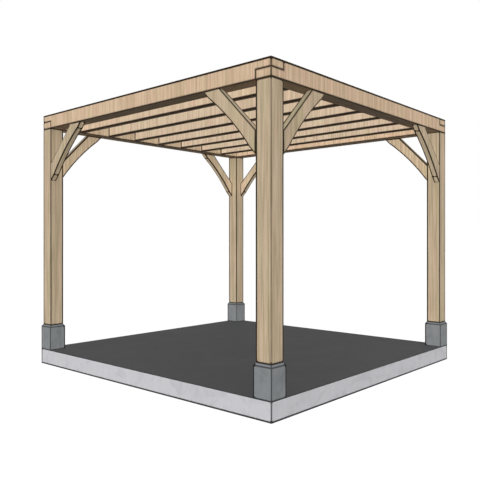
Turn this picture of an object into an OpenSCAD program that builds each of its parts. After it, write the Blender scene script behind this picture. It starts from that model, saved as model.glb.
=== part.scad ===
// Garden pergola: four square posts on padstones, a ring of half-lapped beams,
// arched corner braces and a row of roof joists, on a raised base slab.
// X runs along the front, Y from front to back, Z up, and the origin is under
// the middle of the base.

/* [Frame] */
// Length of the timber frame along X, outside to outside
frame_length = 3120; // [2600:10:4200]
// Width of the timber frame along Y, outside to outside
frame_width = 3180; // [2400:10:4200]
// Clear height from the base to the underside of the beams
headroom = 2380; // [1900:10:2900]

/* [Posts and beams] */
// Side of a square post, which is also the width of a beam
post_side = 150; // [100:5:200]
// Depth of a beam
beam_depth = 150; // [100:5:250]

/* [Joists] */
// Thickness of a joist
joist_thick = 50; // [38:1:75]
// Depth of a joist, measured up from the underside of the beams
joist_depth = 150; // [90:5:250]
// Bay from the centreline of the left beam to the first joist
left_bay = 317; // [220:1:360]
// Bay from the centreline of the right beam to the last joist
right_bay = 385; // [220:1:420]

/* [Braces] */
// Distance from the corner of post and beam to the far end of a brace, on either
brace_reach = 562; // [470:1:700]
// Depth of the board that a brace is cut from
brace_depth = 130; // [80:1:180]
// Thickness of a brace, from its outer face inwards
brace_thick = 63; // [40:1:100]
// Distance from post or beam to the point where the arched edge starts
arch_inset = 60; // [20:1:120]
// Rise of the arch that is cut from the lower edge
arch_rise = 22; // [5:1:50]

/* [Padstones] */
// Distance that a padstone stands proud of its post on every side
pad_lip = 15; // [5:1:60]
// Height of a padstone
pad_height = 265; // [100:5:400]
// Height of the chamfer round the top of a padstone
pad_chamfer = 20; // [5:1:60]

/* [Base] */
// Height of the base from the ground to its surface
base_height = 160; // [100:5:300]
// Thickness of the dark surface layer
surface_thick = 6; // [3:1:30]

/* [Hidden] */

// Half sizes of the frame, out to the faces of the posts
half_x = frame_length / 2;
half_y = frame_width / 2;
// Side of a padstone, whose outer faces are flush with the edges of the base
pad_side = post_side + 2 * pad_lip;
// Levels above the ground
post_foot = base_height + pad_height;
beam_under = base_height + headroom;
// Joists in the row, the distance between their centres and the first centre
joist_count = 7;
joist_pitch = (frame_length - post_side - left_bay - right_bay) / (joist_count - 1);
first_joist = -half_x + post_side / 2 + left_bay;
// Distance from the corner to the upper edge of a brace, along post or beam
brace_inner = brace_reach - brace_depth * sqrt(2);
// Arch of a brace: half its chord, its radius and its centre on the diagonal
half_chord = (brace_reach - 2 * arch_inset) / sqrt(2);
arch_radius = (pow(half_chord, 2) + pow(arch_rise, 2)) / (2 * arch_rise);
arch_centre = brace_reach / 2 + (arch_radius - arch_rise) / sqrt(2);
// Allowance by which a cutter runs past the face it cuts
past = 1;

timber = "#c9b08d";
stone = "#828685";
concrete = "#c3c3c6";
charcoal = "#4b4b4c";

// Places a child in one corner of the frame: side is -1 for left and 1 for
// right, and face is -1 for front and 1 for back. The child is drawn for the
// corner at the front left, whose outer edge is the Z axis.
module in_corner(side, face) {
    mirror([side > 0 ? 1 : 0, 0, 0])
        mirror([0, face > 0 ? 1 : 0, 0])
            translate([-half_x, -half_y, 0])
                children();
}

// Swaps X and Y, to turn a piece of the front into one of the left side
module swap_xy() {
    mirror([1, -1, 0])
        children();
}

// Layer of the base, out to the faces of the padstones
module base_layer(bottom, thickness) {
    translate([-half_x - pad_lip, -half_y - pad_lip, bottom])
        cube([frame_length + 2 * pad_lip, frame_width + 2 * pad_lip, thickness]);
}

module base_slab() {
    color(concrete)
        base_layer(0, base_height - surface_thick);
}

module base_surface() {
    color(charcoal)
        base_layer(base_height - surface_thick, surface_thick);
}

// Side view of a padstone, drawn with its height along Y
module padstone_profile() {
    polygon([
        [-pad_side / 2, 0],
        [pad_side / 2, 0],
        [pad_side / 2, pad_height - pad_chamfer],
        [post_side / 2, pad_height],
        [-post_side / 2, pad_height],
        [-pad_side / 2, pad_height - pad_chamfer]
    ]);
}

// The profile drawn out across the stone, upright
module padstone_prism() {
    rotate([90, 0, 0])
        linear_extrude(height = pad_side + 2 * past, center = true)
            padstone_profile();
}

// Square block whose four top edges are chamfered in to the post
module padstone(side, face) {
    color(stone)
        in_corner(side, face)
            translate([post_side / 2, post_side / 2, base_height])
                intersection() {
                    padstone_prism();
                    rotate([0, 0, 90])
                        padstone_prism();
                }
}

// Square post from the top of its padstone to the underside of the beams
module post(side, face) {
    color(timber)
        in_corner(side, face)
            translate([0, 0, post_foot])
                cube([post_side, post_side, beam_under - post_foot]);
}

// Beam along X at the front or the back: its lower half runs out to the corners
module long_beam(face) {
    color(timber)
        mirror([0, face > 0 ? 1 : 0, 0])
            translate([-half_x, -half_y, beam_under])
                union() {
                    cube([frame_length, post_side, beam_depth / 2]);
                    translate([post_side, 0, 0])
                        cube([frame_length - 2 * post_side, post_side, beam_depth]);
                }
}

// Beam along Y at the left or the right: its upper half laps over the others
module cross_beam(side) {
    color(timber)
        mirror([side > 0 ? 1 : 0, 0, 0])
            translate([-half_x, -half_y, beam_under])
                union() {
                    translate([0, 0, beam_depth / 2])
                        cube([post_side, frame_width, beam_depth / 2]);
                    translate([0, post_side, 0])
                        cube([post_side, frame_width - 2 * post_side, beam_depth]);
                }
}

// Brace under the front beam, in its own corner: a straight board mitred at
// both ends, with a shallow arch cut from its lower edge
module brace() {
    rotate([-90, 0, 0])
        difference() {
            linear_extrude(height = brace_thick)
                polygon([
                    [0, brace_inner],
                    [brace_inner, 0],
                    [brace_reach, 0],
                    [0, brace_reach]
                ]);
            translate([arch_centre, arch_centre, -past])
                cylinder(r = arch_radius, h = brace_thick + 2 * past, $fn = 180);
        }
}

// Brace between a post and the front or back beam
module long_brace(side, face) {
    color(timber)
        in_corner(side, face)
            translate([post_side, 0, beam_under])
                brace();
}

// Brace between a post and the left or right beam
module cross_brace(side, face) {
    color(timber)
        in_corner(side, face)
            translate([0, post_side, beam_under])
                swap_xy()
                    brace();
}

// Joist number i of the row, from the front beam to the back beam
module joist(i) {
    color(timber)
        translate([
            first_joist + (i - 1) * joist_pitch - joist_thick / 2,
            -half_y + post_side,
            beam_under
        ])
            cube([joist_thick, frame_width - 2 * post_side, joist_depth]);
}

base_slab();
base_surface();
padstone(-1, -1);  // padstone_front_left
padstone(1, -1);  // padstone_front_right
padstone(-1, 1);  // padstone_back_left
padstone(1, 1);  // padstone_back_right
post(-1, -1);  // post_front_left
post(1, -1);  // post_front_right
post(-1, 1);  // post_back_left
post(1, 1);  // post_back_right
long_beam(-1);  // beam_front
long_beam(1);  // beam_back
cross_beam(-1);  // beam_left
cross_beam(1);  // beam_right
long_brace(-1, -1);  // brace_front_left
long_brace(1, -1);  // brace_front_right
long_brace(-1, 1);  // brace_back_left
long_brace(1, 1);  // brace_back_right
cross_brace(-1, -1);  // brace_left_front
cross_brace(-1, 1);  // brace_left_back
cross_brace(1, -1);  // brace_right_front
cross_brace(1, 1);  // brace_right_back
joist(1);  // joist_1
joist(2);  // joist_2
joist(3);  // joist_3
joist(4);  // joist_4
joist(5);  // joist_5
joist(6);  // joist_6
joist(7);  // joist_7
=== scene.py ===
"""Looks of the garden pergola: dressed timber on padstones, on a raised base.

Every timber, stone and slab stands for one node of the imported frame. Its place and its
sizes come from that node's box; only the shape of a lap, of a brace's arch and of a
padstone's chamfer is written here.
"""

import logging
import math
import random
from collections.abc import Iterable, Iterator, Mapping, Sequence
from dataclasses import dataclass, field, replace
from enum import Enum
from typing import TypeAlias

import bmesh
import bpy
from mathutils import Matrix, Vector


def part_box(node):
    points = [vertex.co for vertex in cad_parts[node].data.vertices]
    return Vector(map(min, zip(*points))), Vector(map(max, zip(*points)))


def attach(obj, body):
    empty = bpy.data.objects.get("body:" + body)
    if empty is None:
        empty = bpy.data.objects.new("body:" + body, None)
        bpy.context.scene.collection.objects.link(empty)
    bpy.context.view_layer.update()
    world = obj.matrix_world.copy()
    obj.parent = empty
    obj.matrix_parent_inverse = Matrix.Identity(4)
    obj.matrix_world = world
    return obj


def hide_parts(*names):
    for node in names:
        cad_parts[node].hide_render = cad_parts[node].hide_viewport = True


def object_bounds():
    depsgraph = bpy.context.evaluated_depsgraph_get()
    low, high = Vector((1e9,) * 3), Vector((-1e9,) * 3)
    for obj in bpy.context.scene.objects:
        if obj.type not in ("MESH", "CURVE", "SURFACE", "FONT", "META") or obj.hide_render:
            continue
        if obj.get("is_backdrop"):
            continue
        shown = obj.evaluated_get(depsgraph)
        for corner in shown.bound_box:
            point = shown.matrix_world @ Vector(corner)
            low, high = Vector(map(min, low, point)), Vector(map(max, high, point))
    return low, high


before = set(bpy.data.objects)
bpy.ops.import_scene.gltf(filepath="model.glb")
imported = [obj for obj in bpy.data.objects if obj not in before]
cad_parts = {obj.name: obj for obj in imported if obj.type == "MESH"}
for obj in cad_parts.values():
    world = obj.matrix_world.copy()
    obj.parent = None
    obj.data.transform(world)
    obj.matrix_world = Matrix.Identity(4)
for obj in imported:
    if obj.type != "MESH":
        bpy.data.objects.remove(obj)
cad_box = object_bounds()

log = logging.getLogger("pergola")

BODY = "root"
SEED = 17
DIAGONAL = math.sqrt(2)

# What the meshes carry for the finishes: where in the tree a point was, and how dark it is.
GRAIN = "grain"
ARRIS = "arris"

# Faces that meet at less than this angle are one smooth sheet.
SMOOTH_ANGLE = math.radians(3)
# How far from a corner the dark line of an arris changes its strength, and the shortest
# edge that has room for that, in metres.
LINE_TURN = 0.025
LINE_ROOM = 2.5 * LINE_TURN
# How far from a sharp arris a point still counts as on it, in cuts of its easing.
EASING_REACH = 3.0
# How squarely a face has to look along the grain, up or down, or at the middle of the
# pergola to count as an end, as a top or an underside, or as an inner face.
END_FACING = 0.6
LEVEL_FACING = 0.55
INNER_FACING = 0.9

Colour: TypeAlias = tuple[float, float, float]
Point: TypeAlias = tuple[float, float]
Layers: TypeAlias = list[tuple[float, list[Point]]]
Box: TypeAlias = tuple[Vector, Vector]
Value: TypeAlias = "Link | float | Sequence[float]"


def linear(channel: int) -> float:
    """Undo a screen's curve for one channel, which goes from 0 to 255."""
    share = channel / 255
    return share / 12.92 if share <= 0.04045 else ((share + 0.055) / 1.055) ** 2.4


def shade(red: int, green: int, blue: int) -> Colour:
    """Turn a screen's colour into the linear one that a shader takes."""
    return linear(red), linear(green), linear(blue)


def add_object(name: str, data: bpy.types.ID) -> bpy.types.Object:
    """Put a mesh, a lamp or a camera in the scene, and return its object."""
    made = bpy.data.objects.new(name, data)
    bpy.context.scene.collection.objects.link(made)
    return made


# ---- Shader graph ----


class Link:
    """One output of a node; arithmetic on it adds Math nodes to its graph."""

    def __init__(self, graph: "Graph", socket: bpy.types.NodeSocket) -> None:
        """Keep the graph and the socket that carries the value."""
        self.graph = graph
        self.socket = socket

    def __add__(self, other: Value) -> "Link":
        """Return self + other."""
        return self.graph.maths("ADD", self, other)

    __radd__ = __add__

    def __sub__(self, other: Value) -> "Link":
        """Return self - other."""
        return self.graph.maths("SUBTRACT", self, other)

    def __rsub__(self, other: Value) -> "Link":
        """Return other - self."""
        return self.graph.maths("SUBTRACT", other, self)

    def __mul__(self, other: Value) -> "Link":
        """Return self * other."""
        return self.graph.maths("MULTIPLY", self, other)

    __rmul__ = __mul__

    def __pow__(self, other: Value) -> "Link":
        """Return self to the power of other."""
        return self.graph.maths("POWER", self, other)

    def __rpow__(self, other: Value) -> "Link":
        """Return other to the power of self."""
        return self.graph.maths("POWER", other, self)

    def fraction(self) -> "Link":
        """Return what is left after the whole number."""
        return self.graph.maths("FRACT", self)

    def most(self, other: Value) -> "Link":
        """Return the larger of self and other."""
        return self.graph.maths("MAXIMUM", self, other)

    def step(self, start: float, full: float, share: float = 1.0) -> "Link":
        """Rise smoothly from 0 to a share.

        Args:
            start: The value at which the result leaves 0.
            full: The value at which it reaches the share.
            share: What it rises to.

        Returns:
            The eased value, held between 0 and the share.
        """
        return self.graph.link(
            "ShaderNodeMapRange",
            {"interpolation_type": "SMOOTHSTEP", "clamp": True},
            {"Value": self, "From Min": start, "From Max": full, "To Max": share},
        )


class Graph:
    """The node tree of one material or of the world, being filled."""

    def __init__(self, owner: bpy.types.Material | bpy.types.World) -> None:
        """Switch on the owner's nodes and clear them."""
        owner.use_nodes = True
        self.tree = owner.node_tree
        self.tree.nodes.clear()

    def node(
        self,
        kind: str,
        settings: Mapping[str, object] | None = None,
        sockets: Mapping[str | int, Value] | None = None,
    ) -> bpy.types.Node:
        """Add one node.

        Args:
            kind: The node's type name in bpy.types.
            settings: Properties of the node, set before its sockets.
            sockets: Values or links of its inputs, by name or by number.

        Returns:
            The node.
        """
        made = self.tree.nodes.new(kind)
        for name, value in (settings or {}).items():
            setattr(made, name, value)
        for key, value in (sockets or {}).items():
            self.feed(made.inputs[key], value)
        return made

    def link(
        self,
        kind: str,
        settings: Mapping[str, object] | None = None,
        sockets: Mapping[str | int, Value] | None = None,
        output: str | int = 0,
    ) -> Link:
        """Add one node as node() does, and return the output that is wanted."""
        return Link(self, self.node(kind, settings, sockets).outputs[output])

    def feed(self, socket: bpy.types.NodeSocket, value: Value) -> None:
        """Link a socket or set it.

        Args:
            socket: The input to feed.
            value: A link, a number, or three numbers for a colour or a vector.
        """
        if isinstance(value, Link):
            self.tree.links.new(value.socket, socket)
        elif socket.type == "RGBA":
            socket.default_value = (*value, 1.0)
        else:
            socket.default_value = value

    def maths(self, operation: str, *values: Value) -> Link:
        """Add a Math node on one or two numbers."""
        return self.link("ShaderNodeMath", {"operation": operation}, dict(enumerate(values)))

    def turn(self, vector: Link, degrees: float) -> Link:
        """Turn a vector round its third axis."""
        return self.link(
            "ShaderNodeVectorRotate",
            {"rotation_type": "Z_AXIS"},
            {"Vector": vector, "Angle": math.radians(degrees)},
        )

    def scale(self, vector: Link, sizes: Sequence[float], offset: Sequence[float]) -> Link:
        """Multiply a vector by three sizes, one for each axis, and then shift it."""
        return self.link(
            "ShaderNodeVectorMath",
            {"operation": "MULTIPLY_ADD"},
            {0: vector, 1: sizes, 2: offset},
        )

    def blend(self, low: Value, high: Value, share: Value) -> Link:
        """Blend two colours.

        Args:
            low: The colour at a share of 0.
            high: The colour at a share of 1.
            share: How much of the second colour there is.

        Returns:
            The blended colour.
        """
        return self.link(
            "ShaderNodeMix",
            {"data_type": "RGBA", "clamp_factor": True},
            {0: share, 6: low, 7: high},
            output=2,
        )

    def noise(
        self,
        places: Link,
        sizes: Sequence[float],
        detail: float = 2.0,
        roughness: float = 0.5,
        warp: float = 0.0,
        offset: Sequence[float] = (0.0, 0.0, 0.0),
    ) -> Link:
        """Add cloudy noise from 0 to 1.

        Args:
            places: The coordinates, in metres.
            sizes: How many blotches there are to a metre, along each axis.
            detail: How many finer layers are laid on.
            roughness: How strong the finer layers are.
            warp: How far the blotches are bent.
            offset: A shift, so that two noises of one size differ.

        Returns:
            The noise.
        """
        return self.link(
            "ShaderNodeTexNoise",
            None,
            {
                "Vector": self.scale(places, sizes, offset),
                "Scale": 1.0,
                "Detail": detail,
                "Roughness": roughness,
                "Distortion": warp,
            },
            output="Fac",
        )

    def own_value(self, name: str) -> Link:
        """Return a number that the mesh carries at its points."""
        return self.link("ShaderNodeAttribute", {"attribute_name": name}, output="Fac")

    def own_vector(self, name: str) -> Link:
        """Return a vector that the mesh carries at its points."""
        return self.link("ShaderNodeAttribute", {"attribute_name": name}, output="Vector")


# ---- Finishes ----


class Slot(Enum):
    """The record's material slots."""

    FRAME_TIMBER = "frame_timber"
    JOIST_TIMBER = "joist_timber"
    PADSTONE = "padstone"
    BASE_CONCRETE = "base_concrete"
    BASE_SURFACE = "base_surface"


class Side(Enum):
    """The sides of a piece that can have a finish of their own."""

    LONG = "along the grain"
    ACROSS = "across the grain"
    UNDER = "underneath"
    UPPER = "on top"
    INNER = "towards the middle of the pergola"


@dataclass(frozen=True)
class Skin:
    """What a finish lays on a surface: its colour, its roughness and its relief."""

    colour: Link
    roughness: Link
    height: Link


@dataclass(frozen=True)
class Finish:
    """What all finishes share: a Principled shader to fill.

    Attributes:
        name: The material's name.
        gloss: How strongly it reflects at right angles; 0.5 is usual.
        relief: How high its relief stands, in metres.
    """

    name: str
    gloss: float = 0.06
    relief: float = 0.0012

    def material(self) -> bpy.types.Material:
        """Make the material.

        Returns:
            The finished material, ready for a mesh.
        """
        material = bpy.data.materials.new(self.name)
        graph = Graph(material)
        skin = self.paint(graph)
        normal = graph.link(
            "ShaderNodeBump",
            None,
            {"Strength": 1.0, "Distance": self.relief, "Height": skin.height},
        )
        shader = graph.link(
            "ShaderNodeBsdfPrincipled",
            None,
            {
                "Base Color": skin.colour,
                "Roughness": skin.roughness,
                "Normal": normal,
                "Specular IOR Level": self.gloss,
            },
        )
        graph.node("ShaderNodeOutputMaterial", None, {"Surface": shader})
        return material

    def paint(self, graph: Graph) -> Skin:
        """Lay the colour, the roughness and the relief. Each kind of finish has its own."""
        raise NotImplementedError


@dataclass(frozen=True)
class Palette:
    """The colours of a timber: its body, its darker streaks and two soft tints."""

    body: Colour
    streak: Colour
    pink: Colour
    olive: Colour


@dataclass(frozen=True)
class SawnTimber(Finish):
    """Softwood with upright figure, growth rings, soft tints and darkened arrises.

    Attributes:
        palette: Its colours.
        arris: The colour of its arrises.
        figure: How far the streaks are turned from the grain, in degrees.
        ring_share: How much the growth rings darken it.
        pith: How far the tree's middle lies outside the section, across and through it.
        ring_bend: How far the rings stray from a circle, in metres.
        rings_to_metre: How many rings there are to a metre.
    """

    palette: Palette = Palette(
        body=shade(202, 183, 156),
        streak=shade(160, 143, 115),
        pink=shade(207, 178, 154),
        olive=shade(186, 177, 134),
    )
    arris: Colour = shade(25, 14, 4)
    figure: float = 0.0
    ring_share: float = 0.10
    pith: Point = (0.11, 0.045)
    ring_bend: float = 0.035
    rings_to_metre: float = 130.0

    def rings(self, graph: Graph, places: Link) -> Link:
        """Lay the growth rings.

        Args:
            graph: The material's graph.
            places: The grain coordinates.

        Returns:
            Rings that rise slowly from 0 and fall back sharply.
        """
        bend = graph.noise(places, (0.9, 9.0, 9.0), offset=(3.1, 0.0, 1.7))
        from_pith = graph.scale(places, (0.0, 1.0, 1.0), (0.0, *self.pith))
        away = graph.link("ShaderNodeVectorMath", {"operation": "LENGTH"}, {0: from_pith}, "Value")
        return ((away + bend * self.ring_bend) * self.rings_to_metre).fraction()

    def paint(self, graph: Graph) -> Skin:
        """Lay warm and green tints, the figure, the rings, the fibres and dark arrises."""
        places = graph.own_vector(GRAIN)
        upright = graph.turn(places, -self.figure)
        warm = graph.noise(
            upright, (1.1, 10.0, 10.0), detail=4.0, roughness=0.6, offset=(4.0, 8.0, 0.0)
        )
        green = graph.noise(
            upright, (1.1, 11.0, 11.0), detail=4.0, roughness=0.6, offset=(9.0, 1.0, 3.0)
        )
        broad = graph.noise(upright, (1.3, 46.0, 46.0), detail=4.0, roughness=0.72)
        lines = graph.noise(upright, (1.8, 120.0, 120.0), offset=(0.0, 2.0, 6.0))
        patch = graph.noise(upright, (0.8, 4.5, 4.5), offset=(7.0, 4.0, 1.0))
        fibre = graph.noise(places, (9.0, 420.0, 420.0), offset=(0.0, 5.0, 0.0))
        rings = self.rings(graph, places)

        body, streak = self.palette.body, self.palette.streak
        colour = graph.blend(body, self.palette.pink, warm.step(0.44, 0.66, share=0.6))
        colour = graph.blend(colour, self.palette.olive, green.step(0.50, 0.68, share=0.5))
        colour = graph.blend(colour, streak, broad.step(0.40, 0.66, share=0.7))
        fine = lines.step(0.50, 0.68) * (patch.step(0.40, 0.62, share=0.75) + 0.25)
        colour = graph.blend(colour, streak, fine)
        colour = graph.blend(colour, streak, rings**2.0 * self.ring_share)
        colour = graph.blend(colour, streak, fibre.step(0.45, 0.75, share=0.14))

        edge = graph.own_value(ARRIS) + (fibre - 0.5) * 0.2
        colour = graph.blend(colour, self.arris, edge.step(0.2, 0.7, share=0.97))

        roughness = 0.66 + broad * 0.12 + fibre * 0.08
        height = fibre * 0.5 + rings * 0.22 + lines * 0.3
        return Skin(colour, roughness, height)


@dataclass(frozen=True)
class CastStone(Finish):
    """Mid grey stone with faint smudges, fine pits and darkened arrises."""

    body: Colour = shade(132, 135, 137)
    smudge: Colour = shade(112, 116, 118)
    pale: Colour = shade(145, 148, 150)
    pit: Colour = shade(96, 98, 100)
    arris: Colour = shade(13, 14, 16)

    def paint(self, graph: Graph) -> Skin:
        """Lay smudges, a pale bloom, pits and dark arrises."""
        places = graph.own_vector(GRAIN)
        cloud = graph.noise(places, (7.0, 7.0, 6.0), detail=5.0, roughness=0.66, warp=1.2)
        bloom = graph.noise(places, (16.0, 16.0, 7.0), detail=3.0, offset=(5.0, 3.0, 0.0))
        grit = graph.noise(places, (260.0, 260.0, 260.0), offset=(0.0, 7.0, 0.0))
        pits = graph.noise(places, (95.0, 95.0, 95.0), detail=1.0, offset=(2.0, 0.0, 9.0))

        colour = graph.blend(self.body, self.smudge, cloud.step(0.47, 0.68, share=0.6))
        colour = graph.blend(colour, self.pale, bloom.step(0.52, 0.78, share=0.5))
        colour = graph.blend(colour, self.pit, pits.step(0.68, 0.80, share=0.5))
        colour = graph.blend(colour, self.pit, grit.step(0.55, 0.85, share=0.25))
        edge = graph.own_value(ARRIS) + (grit - 0.5) * 0.25
        colour = graph.blend(colour, self.arris, edge.step(0.2, 0.8, share=0.92))

        roughness = 0.78 + cloud * 0.12
        height = grit * 0.5 - pits.step(0.66, 0.82, share=0.8) + cloud * 0.4
        return Skin(colour, roughness, height)


@dataclass(frozen=True)
class CastConcrete(Finish):
    """Pale concrete with cloudy runs down its sides, pinholes and darkened arrises."""

    body: Colour = shade(200, 199, 203)
    run: Colour = shade(186, 186, 190)
    pale: Colour = shade(210, 210, 213)
    pinhole: Colour = shade(150, 150, 154)
    arris: Colour = shade(18, 18, 20)
    relief: float = 0.001

    def paint(self, graph: Graph) -> Skin:
        """Lay cloudy upright runs, a pale bloom, pinholes and dark arrises."""
        places = graph.own_vector(GRAIN)
        cloud = graph.noise(places, (2.6, 2.6, 4.4), detail=5.0, roughness=0.6, warp=2.4)
        runs = graph.noise(places, (19.0, 19.0, 2.6), detail=4.0, roughness=0.65, warp=0.9)
        grit = graph.noise(places, (240.0, 240.0, 240.0), offset=(0.0, 7.0, 0.0))
        pits = graph.noise(places, (60.0, 60.0, 60.0), detail=1.0, offset=(2.0, 0.0, 9.0))

        colour = graph.blend(self.body, self.run, cloud.step(0.46, 0.66, share=0.7))
        colour = graph.blend(colour, self.pale, runs.step(0.50, 0.74, share=0.5))
        colour = graph.blend(colour, self.pinhole, pits.step(0.74, 0.80, share=0.6))
        colour = graph.blend(colour, self.run, grit.step(0.5, 0.8, share=0.3))
        edge = graph.own_value(ARRIS) + (grit - 0.5) * 0.25
        colour = graph.blend(colour, self.arris, edge.step(0.2, 0.7, share=0.93))

        roughness = 0.74 + cloud * 0.14
        height = grit * 0.35 - pits.step(0.70, 0.82) + cloud * 0.4
        return Skin(colour, roughness, height)


@dataclass(frozen=True)
class DarkScreed(Finish):
    """Smooth charcoal surface with a fine speckle and faint trowel clouds."""

    body: Colour = shade(77, 77, 78)
    cloud: Colour = shade(81, 81, 82)
    speck: Colour = shade(65, 65, 66)
    arris: Colour = shade(34, 34, 35)
    gloss: float = 0.05
    relief: float = 0.0008

    def paint(self, graph: Graph) -> Skin:
        """Lay broad trowel clouds, a fine speckle and dark arrises."""
        places = graph.own_vector(GRAIN)
        clouds = graph.noise(places, (1.7, 2.6, 2.0), detail=4.0, roughness=0.6, warp=0.8)
        trowel = graph.noise(places, (7.0, 22.0, 7.0), detail=3.0, roughness=0.6, warp=1.2)
        grit = graph.noise(places, (330.0, 330.0, 330.0))

        colour = graph.blend(self.body, self.cloud, clouds.step(0.42, 0.70, share=0.6))
        colour = graph.blend(colour, self.speck, trowel.step(0.52, 0.80, share=0.25))
        colour = graph.blend(colour, self.speck, grit.step(0.5, 0.8, share=0.45))
        edge = graph.own_value(ARRIS)
        colour = graph.blend(colour, self.arris, edge.step(0.2, 0.8, share=0.8))

        roughness = 0.76 + trowel * 0.14
        height = grit * 0.5 + trowel * 0.5
        return Skin(colour, roughness, height)


# How much the rings darken an end that was cut across the grain.
END_RINGS = 0.42
# How far the streaks are turned from the grain, in degrees, so that they stand upright.
LEVEL_FIGURE = 90.0
SLOPING_FIGURE = -45.0
# The colour of the paler lines on the tops of beams and joists.
SOFT_ARRIS = shade(92, 76, 58)

ROOF = Palette(
    body=shade(222, 195, 166),
    streak=shade(181, 155, 125),
    pink=shade(226, 189, 166),
    olive=shade(205, 189, 150),
)
# Darker, less pink colours for the long faces of the back beam: painted shade against the warm
# light bounced inside the roof.
BACK_BEAM_PAINTED_SHADE = Palette(
    body=shade(205, 184, 156),
    streak=shade(166, 146, 118),
    pink=shade(211, 181, 157),
    olive=shade(190, 178, 138),
)
JOIST = Palette(
    body=shade(214, 195, 170),
    streak=shade(178, 157, 131),
    pink=shade(220, 189, 171),
    olive=shade(203, 193, 158),
)
# Darker colours for the undersides of beams and joists: painted shade.
UNDERSIDE_PAINTED_SHADE = Palette(
    body=shade(178, 156, 132),
    streak=shade(148, 126, 101),
    pink=shade(184, 156, 135),
    olive=shade(167, 154, 121),
)
# Darker, greyer colours for the braces' upper edges, in the corner under the beam: painted shade.
BRACE_TOP_PAINTED_SHADE = Palette(
    body=shade(169, 158, 137),
    streak=shade(134, 123, 101),
    pink=shade(174, 153, 135),
    olive=shade(156, 152, 118),
)
# Paler colours for the braces' faces that look into the pergola and for their lower edges: painted
# light against the shade they lie in.
BRACE_PAINTED_LIGHT = Palette(
    body=shade(219, 199, 170),
    streak=shade(174, 155, 126),
    pink=shade(225, 193, 168),
    olive=shade(202, 192, 146),
)


def level_finishes(name: str, palette: Palette) -> dict[Side, SawnTimber]:
    """Return the finishes of a timber that lies level.

    Args:
        name: What the timber is.
        palette: The colours of its sides.

    Returns:
        A finish for its sides, its ends, its underside, which is darker as painted shade, and its
        top.
    """
    timber = SawnTimber(f"{name}_timber", palette=palette, figure=LEVEL_FIGURE)
    return {
        Side.LONG: timber,
        Side.ACROSS: replace(timber, name=f"{name}_end_grain", ring_share=END_RINGS),
        # The underside takes the darker colours: painted shade.
        Side.UNDER: SawnTimber(f"{name}_underside", gloss=0.05, palette=UNDERSIDE_PAINTED_SHADE),
        Side.UPPER: replace(timber, name=f"{name}_top", arris=SOFT_ARRIS, figure=0.0),
    }


# ---- Meshes ----


@dataclass(frozen=True)
class Easing:
    """How the arrises of a piece are taken off.

    Attributes:
        cut: How far the easing reaches along each face, in metres.
        fade: How far the darker line can then run into the face, in metres.
        head: Strength of that line at the highest arrises; above 1 it is wider.
        middle: Its strength between them.
        foot: Its strength at the lowest arrises.
        crown: How far below the top the highest arrises may lie, in metres.
        steps: How many flats the easing has.
    """

    cut: float = 0.003
    fade: float = 0.014
    head: float = 1.0
    middle: float = 1.0
    foot: float = 1.0
    crown: float = 0.006
    steps: int = 2

    @property
    def reach(self) -> float:
        """Return how far from a sharp arris a point still counts as on it."""
        return EASING_REACH * self.cut

    def line(self, below_top: float, above_foot: float) -> float:
        """Return the strength of the line at two distances from the top and the foot."""
        if below_top < self.crown:
            return self.head
        return self.foot if above_foot < self.reach else self.middle


@dataclass(frozen=True)
class Plumb:
    """Strength of the line on the four plumb arrises of a piece.

    Attributes:
        front: On the front left arris.
        sides: On the two arrises beside it.
        back: On the back right arris.
    """

    front: float
    sides: float
    back: float

    def line(self, place: Vector, box: Box, reach: float) -> float:
        """Return the strength on the plumb arris that a point is on.

        Args:
            place: The point.
            box: The lowest and the highest corner of the box with these arrises.
            reach: How far from a corner of the box, seen from above, an arris reaches.

        Returns:
            The strength, or 0 where there is no such arris.
        """
        lows = 0
        for axis in (0, 1):
            low, high = (corner[axis] for corner in box)
            if place[axis] - low < reach:
                lows += 1
            elif high - place[axis] >= reach:
                return 0.0
        return (self.back, self.sides, self.front)[lows]


@dataclass(frozen=True)
class Setting:
    """Where a piece lies: its box, a corner of it and the three edges that leave it."""

    box: Box
    origin: Vector
    along: Vector
    depth: Vector
    thick: Vector
    sizes: tuple[float, float, float]

    @classmethod
    def of_node(cls, node: str, along: str, depth: str) -> "Setting":
        """Lay local axes in a node's box.

        Args:
            node: The node of the frame.
            along: The local first axis, such as "+X" or "-Z".
            depth: The local second axis, written the same way.

        Returns:
            The setting, whose three axes all point into the box.
        """
        low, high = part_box(node)
        first, second = cls.axis(along), cls.axis(depth)
        third = first.cross(second)
        origin = Vector(
            low[i] if first[i] + second[i] + third[i] > 0 else high[i] for i in range(3)
        )
        span = high - low
        sizes = tuple(abs(axis.dot(span)) for axis in (first, second, third))
        return cls((low, high), origin, first, second, third, sizes)

    @staticmethod
    def axis(name: str) -> Vector:
        """Return the unit vector of an axis written as its sign and its letter."""
        unit = [0.0, 0.0, 0.0]
        unit["XYZ".index(name[1])] = 1.0 if name[0] == "+" else -1.0
        return Vector(unit)

    def outward(self) -> float:
        """Return how far the thickness axis points away from the middle of the pergola."""
        return self.thick.dot(self.place(*(size / 2 for size in self.sizes)))

    def place(self, along: float, depth: float, thick: float) -> Vector:
        """Return the point of the frame at three local distances."""
        return self.origin + self.along * along + self.depth * depth + self.thick * thick


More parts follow.
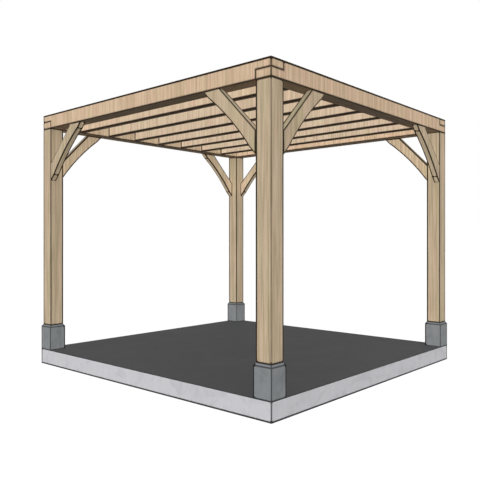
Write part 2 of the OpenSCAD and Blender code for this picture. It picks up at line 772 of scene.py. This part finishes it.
@dataclass
class Blank:
    """A closed solid between two or more outlines, with its arrises eased.

    Attributes:
        setting: Where it lies.
        layers: Its outlines in the plane of along and depth, each with its place on the
            thickness axis. All have the same number of points.
        easing: How its arrises are taken off.
        grain: Direction of the grain in the plane of along and depth.
        shift: Where in the tree it was cut, so that no two pieces are alike.
        plumb: Strengths of the line on plumb arrises, where they differ.
        box: The box with those arrises, if it isn't the piece's own.
    """

    setting: Setting
    layers: Layers
    easing: Easing
    grain: Point = (1.0, 0.0)
    shift: Vector = field(default_factory=Vector)
    plumb: Plumb | None = None
    box: Box | None = None

    def solid(self) -> bmesh.types.BMesh:
        """Join the outlines into one closed solid with sharp edges."""
        solid = bmesh.new()
        rings = [
            [solid.verts.new(self.setting.place(along, depth, level)) for along, depth in outline]
            for level, outline in self.layers
        ]
        solid.faces.new(rings[0])
        solid.faces.new(rings[-1])
        for lower, upper in zip(rings, rings[1:]):
            for here in range(len(lower)):
                there = (here + 1) % len(lower)
                solid.faces.new((lower[here], lower[there], upper[there], upper[here]))
        bmesh.ops.recalc_face_normals(solid, faces=solid.faces)
        return solid

    def ease(self, solid: bmesh.types.BMesh) -> list[bmesh.types.BMFace]:
        """Take the arrises off.

        Args:
            solid: The sharp solid, which is changed.

        Returns:
            The faces that were there before.
        """
        edges = [edge for edge in solid.edges if edge.calc_face_angle(0.0) > SMOOTH_ANGLE]
        made = bmesh.ops.bevel(
            solid,
            geom=edges,
            offset=self.easing.cut,
            offset_type="OFFSET",
            segments=self.easing.steps,
            profile=0.5,
            affect="EDGES",
            clamp_overlap=True,
        )
        eased = set(made["faces"])
        return [face for face in solid.faces if face not in eased]

    @staticmethod
    def sheets(faces: Iterable[bmesh.types.BMFace]) -> Iterator[list[bmesh.types.BMFace]]:
        """Group faces into smooth sheets.

        Args:
            faces: The faces to group.

        Yields:
            The faces of one sheet, which meet without a sharp edge between them.
        """
        left = dict.fromkeys(faces)
        while left:
            start = next(iter(left))
            del left[start]
            sheet, queue = [start], [start]
            while queue:
                face = queue.pop()
                for edge in face.edges:
                    for other in edge.link_faces:
                        if other in left and edge.calc_face_angle(0.0) < SMOOTH_ANGLE:
                            del left[other]
                            sheet.append(other)
                            queue.append(other)
            yield sheet

    def inset(self, solid: bmesh.types.BMesh) -> set[bmesh.types.BMVert]:
        """Ease a solid and inset its smooth sheets, which gives the line room to fade.

        Args:
            solid: The sharp solid, which is changed.

        Returns:
            The points where the line has faded out.
        """
        inside = set()
        for sheet in list(self.sheets(self.ease(solid))):
            bmesh.ops.inset_region(
                solid,
                faces=sheet,
                thickness=self.easing.fade,
                use_even_offset=True,
                use_boundary=True,
            )
            inside.update(vert for face in sheet for vert in face.verts)
        return inside

    def line(self, place: Vector) -> float:
        """Return the strength of the dark line at a point of an arris.

        Args:
            place: The point.

        Returns:
            The strength: 1 is a plain line, more is wider, less is thinner and paler.
        """
        low, high = self.setting.box
        strength = self.easing.line(high.z - place.z, place.z - low.z)
        if self.plumb:
            box = self.box or self.setting.box
            strength = max(strength, self.plumb.line(place, box, self.easing.reach))
        return strength

    def side(self, normal: Vector, run: Vector) -> Side:
        """Return the side that a face belongs to.

        Args:
            normal: The face's normal.
            run: The direction of the grain.

        Returns:
            The side: an end first, then top or bottom, and any other face is a long one.
        """
        if abs(normal.dot(run)) > END_FACING:
            return Side.ACROSS
        if abs(normal.z) > LEVEL_FACING:
            return Side.UPPER if normal.z > 0 else Side.UNDER
        return Side.LONG

    def mesh(self, name: str, sides: Sequence[Side]) -> bpy.types.Mesh:
        """Make the finished mesh.

        Args:
            name: The name of the mesh.
            sides: The sides that have a finish of their own, in the order of the
                materials; every other side has the first one.

        Returns:
            A closed mesh that carries the grain's coordinates and the arris line.
        """
        solid = self.solid()
        arris = solid.verts.layers.float.new(ARRIS)
        grain = solid.verts.layers.float_vector.new(GRAIN)
        inside = self.inset(solid)
        run = self.setting.along * self.grain[0] + self.setting.depth * self.grain[1]
        over = self.setting.depth * self.grain[0] - self.setting.along * self.grain[1]
        for vert in solid.verts:
            vert[arris] = 0.0 if vert in inside else self.line(vert.co)
            local = vert.co - self.setting.origin
            axes = (run, over, self.setting.thick)
            vert[grain] = self.shift + Vector(local.dot(axis) for axis in axes)
        solid.normal_update()
        for face in solid.faces:
            face.smooth = True
            side = self.side(face.normal, run)
            face.material_index = sides.index(side) if side in sides else 0
        for edge in solid.edges:
            edge.smooth = edge.calc_face_angle(0.0) < SMOOTH_ANGLE
        made = bpy.data.meshes.new(name)
        solid.to_mesh(made)
        solid.free()
        return made


@dataclass
class BraceBlank(Blank):
    """A brace, with lines that differ from edge to edge.

    Attributes:
        brow: How far the upper edge reaches along the beam, in metres.
        lines: Strength on the outer face above, on the outer face below, on the face that
            looks into the pergola, and across the narrow edges.
    """

    brow: float = 0.0
    lines: tuple[float, ...] = (1.0, 1.0, 1.0, 1.0)

    def line(self, place: Vector) -> float:
        """Return the strength of the dark line at a point of an arris.

        Args:
            place: The point.

        Returns:
            The strength, as for any other piece.
        """
        above, below, inward, across = self.lines
        local = place - self.setting.origin
        half = self.setting.sizes[2] / 2
        level = local.dot(self.setting.thick) - half
        if abs(level) < half / 2:
            return across
        if level * self.setting.outward() < 0:
            return inward
        reach = local.dot(self.setting.along) + local.dot(self.setting.depth)
        return above if reach < self.brow + self.easing.reach else below

    def side(self, normal: Vector, run: Vector) -> Side:
        """Return the side that a face belongs to.

        Args:
            normal: The face's normal.
            run: The direction of the grain.

        Returns:
            The side, as for any other piece but with the inner face as one of its own.
        """
        inward = -math.copysign(1.0, self.setting.outward())
        if normal.dot(self.setting.thick) * inward > INNER_FACING:
            return Side.INNER
        return super().side(normal, run)


def rectangle(along: float, depth: float, inset: float = 0.0) -> list[Point]:
    """Return the corners of a rectangle, counter-clockwise, each side brought in by an inset."""
    right, top = along - inset, depth - inset
    return [(inset, inset), (right, inset), (right, top), (inset, top)]


def turned(outline: list[Point]) -> list[Point]:
    """Add points near the corners of an outline, where a line can change its strength.

    Args:
        outline: The corners of the outline.

    Returns:
        The corners and, on each long side, a point a short way from either end.
    """
    points = []
    for here, there in zip(outline, outline[1:] + outline[:1]):
        start, end = Vector(here), Vector(there)
        points.append(here)
        length = (end - start).length
        if length > LINE_ROOM:
            step = (end - start) * (LINE_TURN / length)
            points += [tuple(start + step), tuple(end - step)]
    return points


def turned_levels(thick: float) -> tuple[float, ...]:
    """Return the levels of a piece's layers, with one a short way inside each face."""
    if thick > LINE_ROOM:
        return 0.0, LINE_TURN, thick - LINE_TURN, thick
    return 0.0, thick


def straight(outline: list[Point], levels: Iterable[float]) -> Layers:
    """Return layers with the same outline at every level."""
    return [(level, outline) for level in levels]


def bar(setting: Setting) -> Layers:
    """Return the layers of a bar that fills its box."""
    along, depth, thick = setting.sizes
    return straight(turned(rectangle(along, depth)), turned_levels(thick))


# ---- The pergola ----


@dataclass
class Yard:
    """Where pieces get their place in one big tree, their finish and their node."""

    tree: tuple[float, float, float] = (40.0, 6.0, 6.0)
    draw: random.Random = field(default_factory=lambda: random.Random(SEED))
    finishes: dict[Finish, bpy.types.Material] = field(default_factory=dict)

    def cut_from(self) -> Vector:
        """Return the next place in the tree to cut a piece from."""
        return Vector(self.draw.uniform(0, size) for size in self.tree)

    def material(self, finish: Finish) -> bpy.types.Material:
        """Return the material of a finish, made once."""
        if finish not in self.finishes:
            self.finishes[finish] = finish.material()
        return self.finishes[finish]

    def stand(self, node: str, blank: Blank, slot: Slot, finishes: Mapping[Side, Finish]) -> None:
        """Put one piece where its node is.

        Args:
            node: The node of the frame that the piece stands for.
            blank: The piece's solid.
            slot: The record's material slot.
            finishes: The finish of each side; the first one also covers sides not named.
        """
        mesh = blank.mesh(f"{node}_dressed", list(finishes))
        for finish in finishes.values():
            mesh.materials.append(self.material(finish))
        piece = add_object(mesh.name, mesh)
        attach(piece, BODY)
        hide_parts(node)
        log.info("%s: %d faces, %s", piece.name, len(mesh.polygons), slot.value)


CORNERS = tuple(f"{face}_{side}" for face in ("front", "back") for side in ("left", "right"))


@dataclass
class Base:
    """The raised base: a concrete slab with a thin dark surface on it."""

    slab_easing: Easing = Easing(cut=0.003, fade=0.018, head=0.2, middle=0.0, foot=1.5)
    slab_plumb: Plumb = Plumb(front=0.62, sides=3.6, back=0.62)
    surface_easing: Easing = Easing(
        cut=0.0012, fade=0.0015, head=2.5, middle=2.5, foot=2.5, steps=1
    )
    concrete: Finish = CastConcrete("pale_cast_concrete")
    surface: Finish = DarkScreed("charcoal_screed")

    def build(self, yard: Yard) -> None:
        """Make the slab and its surface."""
        for node, easing, plumb, slot, finish in (
            ("base_slab", self.slab_easing, self.slab_plumb, Slot.BASE_CONCRETE, self.concrete),
            ("base_surface", self.surface_easing, None, Slot.BASE_SURFACE, self.surface),
        ):
            setting = Setting.of_node(node, "+X", "+Y")
            blank = Blank(setting, bar(setting), easing, plumb=plumb)
            yard.stand(node, blank, slot, {Side.LONG: finish})


@dataclass
class Padstones:
    """Four square stones whose chamfers end flush with the posts that they carry."""

    lip: float = 0.015
    chamfer: float = 0.020
    easing: Easing = Easing(
        cut=0.0025, fade=0.014, head=0.66, middle=0.0, foot=0.7, crown=0.03
    )
    plumb: Plumb = Plumb(front=0.66, sides=3.0, back=0.66)
    stone: Finish = CastStone("grey_padstone")

    def build(self, yard: Yard) -> None:
        """Make the four padstones."""
        for corner in CORNERS:
            node = f"padstone_{corner}"
            setting = Setting.of_node(node, "+X", "+Y")
            along, depth, height = setting.sizes
            foot = turned(rectangle(along, depth))
            head = turned(rectangle(along, depth, self.lip))
            layers = straight(foot, turned_levels(height - self.chamfer)) + [(height, head)]
            blank = Blank(setting, layers, self.easing, shift=yard.cut_from(), plumb=self.plumb)
            yard.stand(node, blank, Slot.PADSTONE, {Side.LONG: self.stone})


@dataclass
class Posts:
    """Four square posts with the grain upright; the front lines differ from post to post."""

    easing: Easing = Easing(fade=0.016, head=0.8, middle=0.0, foot=0.8)
    front_lines: tuple[float, ...] = (0.5, 0.66, 0.66, 0.8)
    side_line: float = 2.0
    back_line: float = 0.8
    timber: SawnTimber = SawnTimber("post_timber")
    end: SawnTimber = SawnTimber("post_end_grain", ring_share=END_RINGS)

    def build(self, yard: Yard) -> None:
        """Make the four posts."""
        for corner, front_line in zip(CORNERS, self.front_lines):
            node = f"post_{corner}"
            setting = Setting.of_node(node, "+Z", "+X")
            plumb = Plumb(front_line, self.side_line, self.back_line)
            blank = Blank(
                setting, bar(setting), self.easing, shift=yard.cut_from(), plumb=plumb
            )
            finishes = {Side.LONG: self.timber, Side.ACROSS: self.end}
            yard.stand(node, blank, Slot.FRAME_TIMBER, finishes)


class Lap(Enum):
    """Which half of a beam runs through to its end."""

    LOWER = "lower"
    UPPER = "upper"


@dataclass
class Beams:
    """The ring of four beams, half-lapped over one another at the corners."""

    easing: Easing = Easing(fade=0.018, head=2.8, middle=0.64, foot=0.7)
    plumb: Plumb = Plumb(front=0.58, sides=2.4, back=0.58)
    palette: Palette = ROOF
    # The back beam's long faces take the darker colours: painted shade.
    back: SawnTimber = SawnTimber("back_beam_painted_shade_timber", palette=BACK_BEAM_PAINTED_SHADE, figure=LEVEL_FIGURE)

    @staticmethod
    def outline(along: float, depth: float, lap: float, kind: Lap) -> list[Point]:
        """Draw a beam from the side.

        Args:
            along: Its length.
            depth: Its depth.
            lap: The length of the lap at each end.
            kind: Which half runs through.

        Returns:
            The outline with a half of each end taken off.
        """
        half = depth / 2
        lower = [
            (0.0, 0.0),
            (along, 0.0),
            (along, half),
            (along - lap, half),
            (along - lap, depth),
            (lap, depth),
            (lap, half),
            (0.0, half),
        ]
        if kind is Lap.LOWER:
            return lower
        return [(place, depth - height) for place, height in reversed(lower)]

    def build(self, yard: Yard) -> None:
        """Make the four beams."""
        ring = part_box("beam_front")[0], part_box("beam_back")[1]
        finishes = level_finishes("beam", self.palette)
        back_finishes = {**finishes, Side.LONG: self.back}
        for side, axis, kind in (
            ("front", "+X", Lap.LOWER),
            ("back", "+X", Lap.LOWER),
            ("left", "+Y", Lap.UPPER),
            ("right", "+Y", Lap.UPPER),
        ):
            node = f"beam_{side}"
            setting = Setting.of_node(node, axis, "+Z")
            along, depth, thick = setting.sizes
            outline = self.outline(along, depth, thick, kind)
            blank = Blank(
                setting,
                straight(turned(outline), turned_levels(thick)),
                self.easing,
                shift=yard.cut_from(),
                plumb=self.plumb,
                box=ring,
            )
            dressing = back_finishes if side == "back" else finishes
            yard.stand(node, blank, Slot.FRAME_TIMBER, dressing)


@dataclass
class Braces:
    """Eight braces cut from straight boards, with a shallow arch in the lower edge."""

    board: float = 0.130
    arch_inset: float = 0.060
    arch_rise: float = 0.022
    arch_steps: int = 16
    easing: Easing = Easing(cut=0.0025, fade=0.014)
    lines: tuple[float, ...] = (0.7, 1.05, 1.8, 0.5)
    timber: SawnTimber = SawnTimber("brace_timber", figure=SLOPING_FIGURE)
    end: SawnTimber = replace(timber, name="brace_end_grain", ring_share=END_RINGS)
    # The inner faces and lower edges take the paler colours: painted light.
    inner: SawnTimber = replace(timber, name="brace_inside_painted_light", palette=BRACE_PAINTED_LIGHT)
    under: SawnTimber = SawnTimber("brace_underside_painted_light", gloss=0.05, palette=BRACE_PAINTED_LIGHT)
    # The upper edges take the darker colours: painted shade.
    upper: SawnTimber = SawnTimber("brace_top_painted_shade", gloss=0.05, palette=BRACE_TOP_PAINTED_SHADE)

    def brow(self, reach: float) -> float:
        """Return how far the upper edge reaches when the lower one has a given reach."""
        return reach - self.board * DIAGONAL

    def outline(self, reach: float) -> list[Point]:
        """Draw a brace in the corner of its post and its beam.

        Args:
            reach: How far it reaches along the post and along the beam.

        Returns:
            Points by their distance from the post and below the beam.
        """
        brow = self.brow(reach)
        high = Vector((reach - self.arch_inset, self.arch_inset))
        low = Vector((self.arch_inset, reach - self.arch_inset))
        half = (high - low).length / 2
        radius = (half * half + self.arch_rise * self.arch_rise) / (2 * self.arch_rise)
        outward = Vector((1.0, 1.0)).normalized()
        centre = (high + low) / 2 + outward * (radius - self.arch_rise)
        spread = math.asin(half / radius)
        arch = []
        for step in range(self.arch_steps + 1):
            turn = spread * (2 * step / self.arch_steps - 1)
            toward = Vector((-1.0, 1.0)).normalized() * math.sin(turn) - outward * math.cos(turn)
            arch.append(tuple(centre + toward * radius))
        return [(0.0, brow), (brow, 0.0), (reach, 0.0), *arch, (0.0, reach)]

    def build(self, yard: Yard) -> None:
        """Make the eight braces."""
        for face in ("front", "back"):
            for side, axis in (("left", "+X"), ("right", "-X")):
                self.cut(yard, f"brace_{face}_{side}", axis)
        for side in ("left", "right"):
            for face, axis in (("front", "+Y"), ("back", "-Y")):
                self.cut(yard, f"brace_{side}_{face}", axis)

    def cut(self, yard: Yard, node: str, axis: str) -> None:
        """Make one brace.

        Args:
            yard: Where the piece is put together.
            node: The brace's node.
            axis: The direction from its post along its beam.
        """
        setting = Setting.of_node(node, axis, "-Z")
        reach, __, thick = setting.sizes
        blank = BraceBlank(
            setting,
            straight(self.outline(reach), (0.0, thick / 2, thick)),
            self.easing,
            grain=(1 / DIAGONAL, -1 / DIAGONAL),
            shift=yard.cut_from(),
            brow=self.brow(reach),
            lines=self.lines,
        )
        finishes = {
            Side.LONG: self.timber,
            Side.ACROSS: self.end,
            Side.INNER: self.inner,
            Side.UNDER: self.under,
            Side.UPPER: self.upper,
        }
        yard.stand(node, blank, Slot.FRAME_TIMBER, finishes)


@dataclass
class Joists:
    """The roof joists, which run from the front beam to the back beam."""

    count: int = 7
    # The strong line at the foot darkens both edges of each joist's underside; besides the arris
    # line, this is painted shade on the underside.
    easing: Easing = Easing(cut=0.003, fade=0.020, head=0.7, middle=2.8, foot=1.5)
    palette: Palette = JOIST

    def build(self, yard: Yard) -> None:
        """Make the joists, from left to right."""
        finishes = level_finishes("joist", self.palette)
        for number in range(1, self.count + 1):
            node = f"joist_{number}"
            setting = Setting.of_node(node, "+Y", "+Z")
            along, depth, thick = setting.sizes
            layers = straight(turned(rectangle(along, depth)), (0.0, thick))
            blank = Blank(setting, layers, self.easing, shift=yard.cut_from())
            yard.stand(node, blank, Slot.JOIST_TIMBER, finishes)


# ---- The studio ----


@dataclass
class Lamp:
    """A soft distant lamp.

    Attributes:
        name: What it does.
        azimuth: Where it stands round the pergola, in degrees from the front; 90 is right.
        height: How high it stands, in degrees above the ground.
        strength: Its power on a surface that faces it.
        spread: How wide it is in the sky, in degrees.
        shadows: Whether it casts shadows; the fill lamps cast none.
    """

    name: str
    azimuth: float
    height: float
    strength: float
    spread: float = 8.0
    shadows: bool = False

    def hang(self) -> None:
        """Add the lamp to the scene."""
        data = bpy.data.lights.new(self.name, "SUN")
        data.energy = self.strength
        data.angle = math.radians(self.spread)
        data.use_shadow = self.shadows
        lamp = add_object(self.name, data)
        turn, rise = math.radians(self.azimuth), math.radians(self.height)
        source = Vector(
            (math.sin(turn) * math.cos(rise), -math.cos(turn) * math.cos(rise), math.sin(rise))
        )
        lamp.rotation_mode = "QUATERNION"
        lamp.rotation_quaternion = source.to_track_quat("Z", "Y")


@dataclass
class Studio:
    """Plain pale floor, soft light and the camera."""

    eye: tuple[float, float, float] = (-4.9318, -4.3004, 1.3395)
    heading: float = 41.816
    lens: float = 44.317
    sensor: float = 36.0
    floor_size: float = 120.0
    floor_tone: float = 0.06
    floor_glow: float = 0.97
    sky: float = 0.22
    lamps: tuple[Lamp, ...] = (
        Lamp("key_above", azimuth=-45.0, height=65.0, strength=1.1, spread=50.0, shadows=True),
        Lamp("fill_above", azimuth=-45.0, height=88.0, strength=0.82),
        Lamp("fill_left", azimuth=-90.0, height=0.0, strength=2.26),
        Lamp("fill_front", azimuth=0.0, height=0.0, strength=1.74),
        Lamp("fill_right", azimuth=90.0, height=0.0, strength=2.3),
        Lamp("fill_back", azimuth=180.0, height=0.0, strength=2.0),
        Lamp("bounce_below", azimuth=-45.0, height=-80.0, strength=0.08),
    )

    @staticmethod
    def seen(graph: Graph) -> Link:
        """Return 1 for rays that show the background, in view, in gloss or through glass."""
        path = graph.node("ShaderNodeLightPath")
        glossy = Link(graph, path.outputs["Is Glossy Ray"])
        through = Link(graph, path.outputs["Is Transmission Ray"])
        return Link(graph, path.outputs["Is Camera Ray"]).most(glossy).most(through)

    def lay_floor(self) -> None:
        """Lay the floor, which glows white to the camera and still takes the shadow."""
        half = self.floor_size / 2
        mesh = bpy.data.meshes.new("floor")
        corners = [(-half, -half, 0.0), (half, -half, 0.0), (half, half, 0.0), (-half, half, 0.0)]
        mesh.from_pydata(corners, [], [(0, 1, 2, 3)])
        material = bpy.data.materials.new("studio_floor")
        graph = Graph(material)
        tone = (self.floor_tone,) * 3
        matt = graph.link("ShaderNodeBsdfDiffuse", None, {"Color": tone})
        glow = graph.link(
            "ShaderNodeEmission",
            None,
            {"Color": (1.0, 1.0, 1.0), "Strength": self.seen(graph) * self.floor_glow},
        )
        both = graph.link("ShaderNodeAddShader", None, {0: matt, 1: glow})
        graph.node("ShaderNodeOutputMaterial", None, {"Surface": both})
        mesh.materials.append(material)
        add_object("floor", mesh)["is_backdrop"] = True

    def light(self) -> None:
        """Set the sky and hang the lamps."""
        world = bpy.data.worlds.new("studio_sky")
        bpy.context.scene.world = world
        graph = Graph(world)
        seen = self.seen(graph)
        strength = seen * (1.0 - self.sky) + self.sky
        sky = graph.link(
            "ShaderNodeBackground", None, {"Color": (1.0, 1.0, 1.0), "Strength": strength}
        )
        graph.node("ShaderNodeOutputWorld", None, {"Surface": sky})
        for lamp in self.lamps:
            lamp.hang()

    def stand_camera(self) -> None:
        """Stand the camera at eye height, level, off the front left corner."""
        data = bpy.data.cameras.new("camera")
        data.lens = self.lens
        data.sensor_width = self.sensor
        camera = add_object("camera", data)
        camera.location = self.eye
        camera.rotation_euler = (math.radians(90), 0.0, math.radians(self.heading - 90))
        bpy.context.scene.camera = camera

    def build(self) -> None:
        """Make the whole studio."""
        bpy.context.scene.view_settings.view_transform = "Standard"
        self.lay_floor()
        self.light()
        self.stand_camera()


def write_sizes() -> None:
    """Gather the frame's box and the visual model's box into a table, which is not kept."""
    boxes = {"cad": cad_box, "visual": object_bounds()}
    {name: [list(corner) for corner in box] for name, box in boxes.items()}


def main() -> None:
    """Build the pergola and its studio."""
    logging.basicConfig(level=logging.INFO, format="%(name)s: %(message)s")
    yard = Yard()
    for assembly in (Base(), Padstones(), Posts(), Beams(), Braces(), Joists()):
        log.info("building %s", type(assembly).__name__)
        assembly.build(yard)
    Studio().build()
    write_sizes()


if __name__ == "__main__":
    main()
